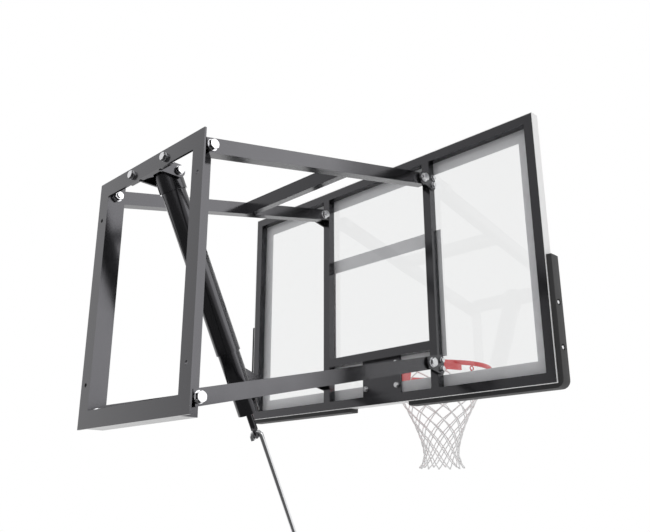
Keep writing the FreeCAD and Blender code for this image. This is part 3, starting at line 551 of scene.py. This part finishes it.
@dataclass
class Prints:
    """The border and the target printed on the front of the clear panel, as thin films let into it."""

    finish: bpy.types.Material
    half_film: float = 0.0002
    edge: float = 0.004
    border_inner: tuple[float, float] = (0.716, 0.424)
    target_half: float = 0.330
    target_top: float = 0.176
    target_low: float = -0.350
    line: float = 0.060

    def frame_piece(self, name: str, outer: np.ndarray, inner: np.ndarray) -> bpy.types.Object:
        """Make a flat frame between two rectangles, half before the panel's face and half in it.

        The surface is a flat box section, from the inner rectangle to the outer one and back a film's
        thickness deeper, carried round four corners.

        Args:
            name: The piece's name.
            outer: Lowest x, lowest z, highest x and highest z of the outer rectangle, from the board's
                middle.
            inner: The same for the inner rectangle.

        Returns:
            The new object.
        """
        low, high = (np.array(corner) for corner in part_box("clear_panel"))
        middle = (low[2] + high[2]) / 2
        order = np.array([[0, 1], [2, 1], [2, 3], [0, 3]])
        flat = np.stack([inner[order], outer[order], outer[order], inner[order]], axis=1)
        level = low[1] + self.half_film * np.array([-1, -1, 1, 1])[:, None]
        depth = np.broadcast_to(level, (*flat.shape[:2], 1))
        points = np.concatenate([flat[..., :1], depth, flat[..., 1:] + middle], axis=-1)
        faces = grid_faces(*points.shape[:2], wrap_rows=True)
        piece = mesh_piece(name, points, faces, "board", self.finish, smooth=False)
        merge_close(piece)
        return piece

    def build(self) -> list[bpy.types.Object]:
        """Print the border and the target.

        Returns:
            The two pieces.
        """
        low, high = (np.array(corner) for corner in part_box("clear_panel"))
        half = (high - low) / 2 - self.edge
        wide, tall = self.border_inner
        border = self.frame_piece("printed_border", np.array([-half[0], -half[2], half[0], half[2]]),
                                  np.array([-wide, -tall, wide, tall]))
        outer = np.array([-self.target_half, self.target_low, self.target_half, self.target_top])
        inset = self.line * np.array([1, 1, -1, -1])
        target = self.frame_piece("printed_target", outer, outer + inset)
        return [border, target]


@dataclass
class EdgePad:
    """A moulded foam pad round a lower corner of the board, with a lip over the playing face.

    Lengths are in metres and the crease in degrees.
    """

    side: Side
    finish: bpy.types.Material
    front: float = 0.014
    lip: float = 0.016
    corner: float = 0.030
    soft: float = 0.0025
    crown: float = 0.0010
    end_round: float = 0.0025
    bore: float = 0.0105
    recess: float = 0.009
    mouth: float = 0.0012
    edge_steps: int = 6
    face_steps: int = 7
    corner_steps: int = 9
    run_steps: int = 17
    end_steps: int = 5
    bore_sides: int = 24
    crease: float = 50.0

    def outline(self, flank: float, span: float, depth: float) -> tuple[np.ndarray, np.ndarray]:
        """Work out the pad's section: a hooked outline with quarter-round convex corners and crowned faces.

        Each point is a pair: how far out from the board's edge, below zero on the lip, and how far forward
        of the pad's back. A face's crown is half a sine wave.

        Args:
            flank: The thickness of the pad outside the board's edge.
            span: The reach of the lip over the playing face.
            depth: The pad's whole depth.

        Returns:
            The points in order round the section, and at each the direction into the foam, which is zero
            where the pad rests on the board.
        """
        turn = np.linspace(0, QUARTER_TURN, self.edge_steps)
        quarter = self.soft * np.stack([np.sin(turn), np.cos(turn)], axis=1)
        back = [flank - self.soft, self.soft] + quarter * [1, -1]
        fore = [flank - self.soft, depth - self.soft] + quarter[::-1]
        tip = [self.soft - span, depth - self.soft] + quarter * [-1, 1]
        share = np.linspace(0, 1, self.face_steps)[1:-1, None]
        swell = self.crown * np.sin(math.pi * share)
        side = back[-1] + (fore[0] - back[-1]) * share + swell * [1, 0]
        face = fore[-1] + (tip[0] - fore[-1]) * share + swell * [0, 1]
        rest = np.array([[-span, depth - self.front], [0, depth - self.front], [0, 0]])
        points = np.concatenate([back, side, fore, face, tip, rest])
        along = np.roll(points, -1, axis=0) - np.roll(points, 1, axis=0)
        inward = np.stack([-along[:, 1], along[:, 0]], axis=1) / np.linalg.norm(along, axis=1)[:, None]
        inward[-len(rest):] = 0
        return points, inward

    def lines(self, low: np.ndarray, high: np.ndarray, edge: float, foot: float, span: float) -> np.ndarray:
        """Work out three lines along the L: the outer face, the board's edge and the lip's inner edge.

        The outer line has a round corner and the other two a sharp one, so that the section fans out
        round the corner. All three stop short of the pad's ends by the ends' rounding.

        Args:
            low: The pad's lowest corner, on the right side.
            high: The pad's highest corner, on the right side.
            edge: The x of the board's edge.
            foot: The z of the board's lower edge.
            span: The reach of the lip.

        Returns:
            The three lines, each an array of x and z.
        """
        top = high[2] - self.end_round
        end = low[0] + self.end_round
        turn = np.linspace(0, QUARTER_TURN, self.corner_steps)
        drop = np.linspace(0, 1, self.run_steps)[:-1, None]

        def bent(corner: np.ndarray) -> np.ndarray:
            """Give the line down to a corner's points, round them and on to the pad's inner end."""
            start = np.array([corner[0][0], top])
            stop = np.array([end, corner[-1][1]])
            return np.concatenate([start + drop * (corner[0] - start), corner,
                                   stop + drop[::-1] * (corner[-1] - stop)])

        centre = np.array([high[0] - self.corner, low[2] + self.corner])
        bend = centre + self.corner * np.stack([np.cos(turn), -np.sin(turn)], axis=1)
        sharp = np.ones((len(turn), 1))
        return np.stack([bent(bend), bent(sharp * [edge, foot]), bent(sharp * [edge - span, foot + span])])

    def sink_screws(self, piece: bpy.types.Object, outer: float) -> None:
        """Cut the round recesses for the screws' heads into the pad's side.

        A cutter is a profile turned about the screw's axis: straight up from the recess's floor, and flared
        by a quarter round at the mouth.

        Args:
            piece: The pad.
            outer: The distance of the pad's side from the board's middle.
        """
        low, high = (np.array(corner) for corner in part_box("pad_screws"))
        head = (high[1] - low[1]) / 2
        bend = np.linspace(0, QUARTER_TURN, self.end_steps)
        far = outer + self.recess
        along = np.concatenate([[outer - self.recess] * 2, outer + self.mouth * (np.sin(bend) - 1),
                                [far, far]])
        wide = np.concatenate([[0, self.bore], self.bore + self.mouth * (1 - np.cos(bend))])
        wide = np.concatenate([wide, wide[-1:], [0]])
        turn = np.arange(self.bore_sides) * FULL_TURN / self.bore_sides
        for height in (low[2] + head, high[2] - head):
            points = np.stack(np.broadcast_arrays(along[:, None] * self.side.value,
                                                  low[1] + head + wide[:, None] * np.cos(turn),
                                                  height + wide[:, None] * np.sin(turn)), axis=-1)
            cutter = mesh_piece("recess", points, grid_faces(len(along), len(turn)), "board", self.finish)
            merge_close(cutter)
            carve(piece, cutter)

    def build(self) -> bpy.types.Object:
        """Make the pad and let it stand for its CAD solid.

        Each point of the section lies on the straight lines from the lip's inner edge over the board's
        edge to the outer face, at its share of the way. At both ends the section is drawn in along a
        quarter round, and closed to a point in its middle.

        Returns:
            The pad.
        """
        node = f"edge_pad_{self.side.name.lower()}"
        low, high = (np.array(corner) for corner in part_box(node))
        low[0], high[0] = sorted((abs(low[0]), abs(high[0])))
        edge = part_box("edge_trim_right")[1][0]
        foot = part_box("edge_trim_bottom")[0][2]
        span = self.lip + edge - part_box("clear_panel")[1][0]
        flank = high[0] - edge
        outer, middle, inner = self.lines(low, high, edge, foot, span)
        section, inward = self.outline(flank, span, high[1] - low[1])
        turn = np.linspace(0, QUARTER_TURN, self.end_steps)[:-1]
        run = np.zeros(len(outer))
        inset = np.concatenate([1 - np.sin(turn), run, 1 - np.sin(turn[::-1])]) * self.end_round
        push = np.concatenate([np.cos(turn), run, np.cos(turn[::-1])]) * self.end_round
        station = np.clip(np.arange(len(inset)) - len(turn), 0, len(outer) - 1)
        heading = np.where(np.arange(len(inset))[:, None] < len(inset) / 2, [0.0, 1.0], [-1.0, 0.0])
        around = section[None] + inset[:, None, None] * inward[None]
        heart = np.broadcast_to([flank / 2, high[1] - low[1] - self.front / 2], (1, *section.shape))
        around = np.concatenate([heart, around, heart])
        station = np.concatenate([station[:1], station, station[-1:]])
        shift = push[:, None] * heading
        shift = np.concatenate([shift[:1], shift, shift[-1:]])
        grow = np.clip(around[..., :1] / flank, 0, None)
        reach = np.clip(-around[..., :1] / span, 0, None)
        flat = (middle[station] + shift)[:, None] + grow * (outer - middle)[station][:, None]
        flat = flat + reach * (inner - middle)[station][:, None]
        points = np.stack([flat[..., 0] * self.side.value, high[1] - around[..., 1], flat[..., 1]], axis=-1)
        faces = grid_faces(len(points), len(section))
        piece = mesh_piece(f"foam_{node}", points, faces, "board", self.finish)
        merge_close(piece)
        self.sink_screws(piece, high[0])
        piece.data.set_sharp_from_angle(angle=math.radians(self.crease))
        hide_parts(node)
        return piece


@dataclass
class Net:
    """The knotted net: cords that wind round an hourglass in two opposite ways, knots and top loops.

    Lengths are in metres. The waist's share is of the net's length, the mouth's of the ring's radius, and
    the other shares are of the cord's width.
    """

    finish: bpy.types.Material
    columns: int = 12
    rows: int = 6
    cord: float = 0.005
    mouth_share: float = 0.98
    waist: float = 0.0755
    tail: float = 0.097
    waist_share: float = 0.84
    fall_power: float = 1.5
    ring_middle: float = 0.235
    loop: float = 0.0063
    loop_lift: float = 0.0008
    loop_share: float = 0.45
    weave_share: float = 0.32
    knot_shares: tuple[float, float, float] = (0.72, 0.95, 1.0)
    knot_rise_share: float = 1.02
    half_row_steps: int = 6
    loop_steps: int = 20
    knot_steps: int = 6
    sides: int = 8
    plaits_round: float = 2.0
    plaits_along: float = 1.6
    knot_plaits: float = 300.0
    loop_plaits: float = 3.0

    def radius(self, share: np.ndarray) -> np.ndarray:
        """Give the net's radius down its length.

        It falls by a power from the mouth to the waist, and flares by a square to the tail.

        Args:
            share: The share of the length, from 0 at the top.

        Returns:
            The radius in metres.
        """
        mouth = self.ring_middle * self.mouth_share
        fall = np.clip(1 - share / self.waist_share, 0, None)
        rise = np.clip((share - self.waist_share) / (1 - self.waist_share), 0, None)
        narrow = (mouth - self.waist) * fall ** self.fall_power
        return self.waist + narrow + (self.tail - self.waist) * rise ** 2

    def centre(self) -> tuple[np.ndarray, float, float]:
        """Measure where the CAD net hangs.

        Returns:
            The net's middle in plan, its top and its length.
        """
        low, high = (np.array(corner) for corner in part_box("net"))
        return (low[:2] + high[:2]) / 2, high[2], high[2] - low[2]

    def spread(self, name: str, heart: np.ndarray, angle: np.ndarray, local: np.ndarray, wrap: bool,
               pattern: np.ndarray) -> bpy.types.Object:
        """Repeat a small shape round the net, turned to face outwards, as one piece.

        A point is the shape's heart plus its three local measures: outwards, sideways and up.

        Args:
            name: The piece's name.
            heart: The middle of each shape.
            angle: The angle of each shape round the net's axis.
            local: The grid of the shape's points.
            wrap: Whether the grid's last row joins its first.
            pattern: The pair of pattern coordinates at each point of the grid.

        Returns:
            The piece.
        """
        out = np.stack([np.cos(angle), np.sin(angle), 0 * angle], axis=-1)
        side = np.stack([-out[:, 1], out[:, 0], 0 * angle], axis=-1)
        up = np.broadcast_to([0.0, 0.0, 1.0], out.shape)
        turned = np.einsum("rcm,mnk->nrck", local, np.stack([out, side, up]))
        points = heart[:, None, None] + turned
        one = grid_faces(*local.shape[:2], wrap_rows=wrap)
        uv = np.tile(pattern.reshape(-1, 2)[one][None], (len(points), 1, 1, 1))
        faces = repeat_faces(one, len(points), pattern.shape[0] * pattern.shape[1])
        piece = mesh_piece(name, points, faces, "board", self.finish, uv=uv)
        merge_close(piece)
        return piece

    def cords(self) -> bpy.types.Object:
        """Make all cords as one piece.

        A cord's middle line turns half a column per half row while its radius follows the hourglass. It
        weaves in and out by a third of its width. The tube is a circle carried along that line, square to
        it, and closed to a point at both ends.

        Returns:
            The cords.
        """
        middle, top, length = self.centre()
        steps = 2 * self.rows
        fine = np.linspace(0, steps, steps * self.half_row_steps + 1)
        lay = np.array([way.value for way in Lay])[:, None, None]
        column = np.arange(self.columns)[None, :, None]
        half = math.pi / self.columns
        angle = 2 * half * (column + 0.5) + lay * half * fine
        share = (fine / steps)[None, None, :]
        radius = self.radius(share) + lay * self.weave_share * self.cord * np.cos(math.pi * fine)
        inset = self.cord / 2
        height = top - inset - share * (length - 2 * inset)
        line = np.stack(np.broadcast_arrays(middle[0] + radius * np.cos(angle),
                                            middle[1] + radius * np.sin(angle), height), axis=-1)
        along = np.gradient(line, axis=2)
        along /= np.linalg.norm(along, axis=-1, keepdims=True)
        radial = np.stack(np.broadcast_arrays(np.cos(angle), np.sin(angle), 0 * angle), axis=-1)
        across = np.cross(along, radial)
        across /= np.linalg.norm(across, axis=-1, keepdims=True)
        out = np.cross(across, along)
        turn = np.arange(self.sides)[:, None] * FULL_TURN / self.sides
        ring = np.cos(turn) * out[..., None, :] + np.sin(turn) * across[..., None, :]
        ring = np.pad(ring, [(0, 0), (0, 0), (1, 1), (0, 0), (0, 0)])
        path = np.pad(line, [(0, 0), (0, 0), (1, 1), (0, 0)], mode="edge")
        points = (path[..., None, :] + self.cord / 2 * ring).reshape(-1, len(fine) + 2, self.sides, 3)
        rows = points.shape[1]
        faces = repeat_faces(grid_faces(rows, self.sides), len(points), rows * self.sides)
        row, around = corner_grid(rows, self.sides)
        uv = np.stack([around * self.plaits_round / self.sides, row * self.plaits_along], axis=-1)
        uv = np.tile(uv[None], (len(points), 1, 1, 1))
        piece = mesh_piece("net_cords", points, faces, "board", self.finish, uv=uv)
        merge_close(piece)
        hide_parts("net")
        return piece

    def knots(self) -> bpy.types.Object:
        """Make the knots at the crossings as one piece.

        Each is a sphere that is flattened towards the net's axis.

        Returns:
            The knots.
        """
        middle, top, length = self.centre()
        steps = 2 * self.rows
        step, column = np.meshgrid(np.arange(1, steps + 1), np.arange(self.columns), indexing="ij")
        half = math.pi / self.columns
        angle = (2 * half * (column + 0.5) + half * step).reshape(-1)
        share = (step / steps).reshape(-1)
        radius = self.radius(share)
        height = np.clip(top - share * length, top - length + self.cord * self.knot_rise_share, None)
        heart = np.stack([middle[0] + radius * np.cos(angle), middle[1] + radius * np.sin(angle), height],
                         axis=-1)
        pole, around = np.meshgrid(np.linspace(0, math.pi, self.knot_steps),
                                   np.arange(self.sides) * FULL_TURN / self.sides, indexing="ij")
        ball = [np.sin(pole) * np.cos(around), np.sin(pole) * np.sin(around), np.cos(pole)]
        local = np.stack(ball, axis=-1) * self.cord * np.array(self.knot_shares)
        return self.spread("net_knots", heart, angle, local, False, local[..., 1:] * self.knot_plaits)

    def loops(self) -> bpy.types.Object:
        """Make the cord loops that hold the net's top in the ring's wire loops, as one piece.

        Each is a ring of cord in the upright plane through the ring's axis, linked with a wire loop.

        Returns:
            The loops.
        """
        middle, top, _ = self.centre()
        angle = FULL_TURN / self.columns * (np.arange(self.columns) + 0.5)
        heart = np.stack([middle[0] + self.ring_middle * np.cos(angle),
                          middle[1] + self.ring_middle * np.sin(angle),
                          np.full(self.columns, top + self.loop_lift)], axis=-1)
        turn, roll = np.meshgrid(np.arange(self.loop_steps) * FULL_TURN / self.loop_steps,
                                 np.arange(self.sides) * FULL_TURN / self.sides, indexing="ij")
        thick = self.cord * self.loop_share
        reach = self.loop + thick * np.cos(roll)
        local = np.stack([reach * np.cos(turn), thick * np.sin(roll), reach * np.sin(turn)], axis=-1)
        pattern = np.stack([roll / math.pi, turn * self.loop_plaits], axis=-1)
        return self.spread("net_top_loops", heart, angle, local, True, pattern)

    def build(self) -> list[bpy.types.Object]:
        """Make the cords, the knots and the loops.

        Returns:
            The three pieces.
        """
        return [self.cords(), self.knots(), self.loops()]


@dataclass(frozen=True)
class Lamp:
    """A square soft lamp: where it hangs, the point it faces, its side in metres and its power in watts."""

    name: str
    place: Place
    aim: Place
    size: float
    power: float

    def hang(self) -> None:
        """Hang the lamp so that it isn't itself seen, directly or through the panel."""
        data = bpy.data.lights.new(self.name, "AREA")
        data.size = self.size
        data.energy = self.power
        lamp = bpy.data.objects.new(self.name, data)
        lamp.location = self.place
        lamp.rotation_euler = (Vector(self.aim) - Vector(self.place)).to_track_quat("-Z", "Y").to_euler()
        lamp.visible_camera = False
        lamp.visible_transmission = False
        bpy.context.scene.collection.objects.link(lamp)


@dataclass
class Studio:
    """The pale floor, the soft lamps, the world and the camera at the photograph's angle."""

    eye: Place = (-2.0111, 1.1766, -0.6740)
    yaw: float = 45.0
    pitch: float = 17.98
    lens: float = 41.07
    sensor: float = 36.0
    far: float = 200.0
    floor: float = -1.62
    floor_rings: tuple[float, ...] = (0.0, 3.0, 9.0)
    floor_sides: int = 48
    floor_middle: float = -0.8
    floor_tone: Color = (0.86, 0.86, 0.86)
    floor_rough: float = 0.9
    floor_glow: float = 0.4
    daylight: float = 0.6
    dark_way: Place = (-0.342, 0.940, 0.0)
    wall_side: float = 0.42
    wall_fade: tuple[float, float] = (0.15, 0.65)
    floor_side: float = 0.12
    floor_fade: tuple[float, float] = (-0.4, 0.05)
    lamps: tuple[Lamp, ...] = (
        Lamp("wall", (-1.0, 1.4, 0.8), (-0.2, -0.3, 0.0), size=1.6, power=14.0),
        Lamp("side", (-3.6, -2.2, 1.35), (0.0, -0.8, 0.0), size=2.6, power=27.0),
        Lamp("fill", (3.2, -3.2, 2.2), (0.0, -0.9, 0.0), size=2.6, power=30.0),
    )

    def camera(self) -> None:
        """Place the camera: level sideways, looking up from behind the wall frame's left side."""
        data = bpy.data.cameras.new("view")
        data.sensor_width = self.sensor
        data.lens = self.lens
        data.clip_end = self.far
        camera = bpy.data.objects.new("view", data)
        camera.location = self.eye
        camera.rotation_euler = (math.radians(90 + self.pitch), 0.0, math.radians(180 + self.yaw))
        bpy.context.scene.collection.objects.link(camera)
        bpy.context.scene.camera = camera

    def either(self, tree: bpy.types.NodeTree, first: object, second: object) -> object:
        """Give the larger of two masks.

        Args:
            tree: The tree that gets the node.
            first: One mask's socket.
            second: The other mask's socket.

        Returns:
            The result's socket.
        """
        node = add_node(tree, "ShaderNodeMath", operation="MAXIMUM")
        tree.links.new(first, node.inputs[0])
        tree.links.new(second, node.inputs[1])
        return node.outputs["Value"]

    def shade(self, tree: bpy.types.NodeTree, place: object, span: tuple[float, float],
              dark: float) -> object:
        """Fade from white to dark towards the wall's side.

        The fade runs along the dot product of a place or a direction with the way to the wall's side.

        Args:
            tree: The tree that gets the nodes.
            place: The socket that gives the place or direction.
            span: Where the fade starts and ends.
            dark: The value past its end.

        Returns:
            The result's socket.
        """
        facing = add_node(tree, "ShaderNodeVectorMath", operation="DOT_PRODUCT")
        facing.inputs[1].default_value = self.dark_way
        fade = add_node(tree, "ShaderNodeMapRange", From_Min=span[0], From_Max=span[1], To_Min=1.0,
                        To_Max=dark)
        tree.links.new(place, facing.inputs[0])
        tree.links.new(facing.outputs["Value"], fade.inputs["Value"])
        return fade.outputs["Result"]

    def ground(self) -> None:
        """Lay the pale floor under the object: a flat disc, a radius swept round.

        Mirrors see it white before the wall and dark on the wall's side, as they see the sky.
        """
        reach = np.array(self.floor_rings)
        turn = np.arange(self.floor_sides) * FULL_TURN / self.floor_sides
        level = np.full((len(reach), len(turn)), self.floor)
        points = np.stack([np.outer(reach, np.cos(turn)),
                           np.outer(reach, np.sin(turn)) + self.floor_middle, level], axis=-1)
        material, tree, shader = blank_material("pale_floor")
        shader.inputs["Base Color"].default_value = (*self.floor_tone, 1.0)
        shader.inputs["Roughness"].default_value = self.floor_rough
        shader.inputs["Emission Color"].default_value = WHITE
        path = tree.nodes.new("ShaderNodeLightPath")
        seen = self.either(tree, path.outputs["Is Camera Ray"], path.outputs["Is Transmission Ray"])
        glow = add_node(tree, "ShaderNodeMath", operation="MULTIPLY")
        glow.inputs[1].default_value = self.floor_glow
        tree.links.new(seen, glow.inputs[0])
        tree.links.new(glow.outputs["Value"], shader.inputs["Emission Strength"])
        mirrored = add_node(tree, "ShaderNodeEmission", Color=WHITE)
        place = tree.nodes.new("ShaderNodeTexCoord")
        tree.links.new(self.shade(tree, place.outputs["Object"], self.floor_fade, self.floor_side),
                       mirrored.inputs["Strength"])
        mirror = add_node(tree, "ShaderNodeMath", operation="SUBTRACT", use_clamp=True)
        tree.links.new(path.outputs["Is Glossy Ray"], mirror.inputs[0])
        tree.links.new(seen, mirror.inputs[1])
        surface = tree.nodes.new("ShaderNodeMixShader")
        tree.links.new(mirror.outputs["Value"], surface.inputs["Fac"])
        tree.links.new(shader.outputs["BSDF"], surface.inputs[1])
        tree.links.new(mirrored.outputs["Emission"], surface.inputs[2])
        leave = next(node for node in tree.nodes if node.type == "OUTPUT_MATERIAL")
        tree.links.new(surface.outputs["Shader"], leave.inputs["Surface"])
        mesh = bpy.data.meshes.new("floor")
        mesh.from_pydata(points.reshape(-1, 3).tolist(), [], grid_faces(*level.shape).tolist())
        mesh.materials.append(material)
        floor = bpy.data.objects.new("floor", mesh)
        bpy.context.scene.collection.objects.link(floor)
        merge_close(floor)

    def world(self) -> None:
        """Light all round: a pale sky that the camera and clear pieces see as white.

        Mirrors see it white too before the wall, and fading to dark towards the wall's side.
        """
        world = bpy.data.worlds.new("studio")
        bpy.context.scene.world = world
        world.use_nodes = True
        tree = world.node_tree
        tree.nodes.clear()
        leave = tree.nodes.new("ShaderNodeOutputWorld")
        path = tree.nodes.new("ShaderNodeLightPath")
        place = tree.nodes.new("ShaderNodeTexCoord")
        soft = add_node(tree, "ShaderNodeBackground", Color=WHITE, Strength=self.daylight)
        mirrored = add_node(tree, "ShaderNodeBackground", Color=WHITE)
        white = add_node(tree, "ShaderNodeBackground", Color=WHITE, Strength=1.0)
        lit = tree.nodes.new("ShaderNodeMixShader")
        shown = tree.nodes.new("ShaderNodeMixShader")
        seen = self.either(tree, path.outputs["Is Camera Ray"], path.outputs["Is Transmission Ray"])
        tree.links.new(self.shade(tree, place.outputs["Generated"], self.wall_fade, self.wall_side),
                       mirrored.inputs["Strength"])
        tree.links.new(path.outputs["Is Glossy Ray"], lit.inputs["Fac"])
        tree.links.new(soft.outputs["Background"], lit.inputs[1])
        tree.links.new(mirrored.outputs["Background"], lit.inputs[2])
        tree.links.new(seen, shown.inputs["Fac"])
        tree.links.new(lit.outputs["Shader"], shown.inputs[1])
        tree.links.new(white.outputs["Background"], shown.inputs[2])
        tree.links.new(shown.outputs["Shader"], leave.inputs["Surface"])

    def build(self) -> None:
        """Set up the whole studio."""
        self.camera()
        self.ground()
        self.world()
        for lamp in self.lamps:
            lamp.hang()
        bpy.context.scene.view_settings.view_transform = "Standard"


def finishes(skin: bpy.types.NodeTree, rub: bpy.types.NodeTree) -> dict[str, bpy.types.Material]:
    """Make the finish of each of the record's slots.

    Args:
        skin: The coat's node group.
        rub: The rubbed metal's node group.

    Returns:
        The materials by slot.
    """
    coats = {
        "black_paint": CoatFinish("black_coat", (0.007, 0.007, 0.0075), (0.011, 0.011, 0.0116),
                                  smooth=0.11, rough=0.18, depth=0.00003, gleam=1.0, tone=COOL),
        "red_paint": CoatFinish("red_coat", (0.76, 0.080, 0.086), (0.82, 0.105, 0.112),
                                smooth=0.16, rough=0.24),
        "white_trim": CoatFinish("white_strip", (0.85, 0.85, 0.85), (0.89, 0.89, 0.89),
                                 smooth=0.38, rough=0.5),
        "pad": CoatFinish("foam_skin", (0.014, 0.014, 0.015), (0.021, 0.021, 0.022),
                          smooth=0.5, rough=0.62, grain=620.0, depth=0.0004),
        "grip": CoatFinish("moulded_grip", (0.014, 0.014, 0.015), (0.022, 0.022, 0.023),
                           smooth=0.5, rough=0.6, grain=500.0, depth=0.0003),
    }
    metals = {
        "zinc_bolt": MetalFinish("zinc_plate", (0.80, 0.80, 0.815), (0.66, 0.66, 0.675),
                                 smooth=0.16, rough=0.28),
        "plated_steel": MetalFinish("bright_plate", (0.82, 0.825, 0.84), (0.72, 0.725, 0.74),
                                    smooth=0.10, rough=0.18),
    }
    made = {slot: coat.material(skin) for slot, coat in coats.items()}
    made |= {slot: metal.material(rub) for slot, metal in metals.items()}
    sheet = ClearFinish("clear_sheet", tint=(0.88, 0.885, 0.885), index=1.49, gleam=0.5)
    made["clear_panel"] = sheet.material(skin)
    # The cord's second colour is painted shade for the furrows between its plaits.
    made["net_cord"] = CordFinish("plaited_cord", (0.94, 0.94, 0.94), (0.87, 0.87, 0.87)).material()
    return made


def main() -> None:
    """Build the studio, dress the steelwork and make the prints, the pads and the net."""
    logging.basicConfig(level=logging.INFO, format="%(message)s")
    Studio().build()
    skin = skin_group()
    slots = finishes(skin, rub_group())
    gloss = CoatFinish("gloss_coat", (0.004, 0.004, 0.0045), (0.006, 0.006, 0.0065),
                       smooth=0.12, rough=0.18, depth=0.00003, gleam=0.85, tone=COOL)
    LOG.info("steelwork: %d pieces", Steelwork(slots, gloss.material(skin)).dress())
    ink = PrintFinish("pale_print", (0.84, 0.84, 0.86), (0.89, 0.89, 0.91)).material(skin)
    made = Prints(ink).build()
    made += [EdgePad(side, slots["pad"]).build() for side in Side]
    made += Net(slots["net_cord"]).build()
    for piece in made:
        LOG.info("%s: %d faces", piece.name, len(piece.data.polygons))


if __name__ == "__main__":
    main()
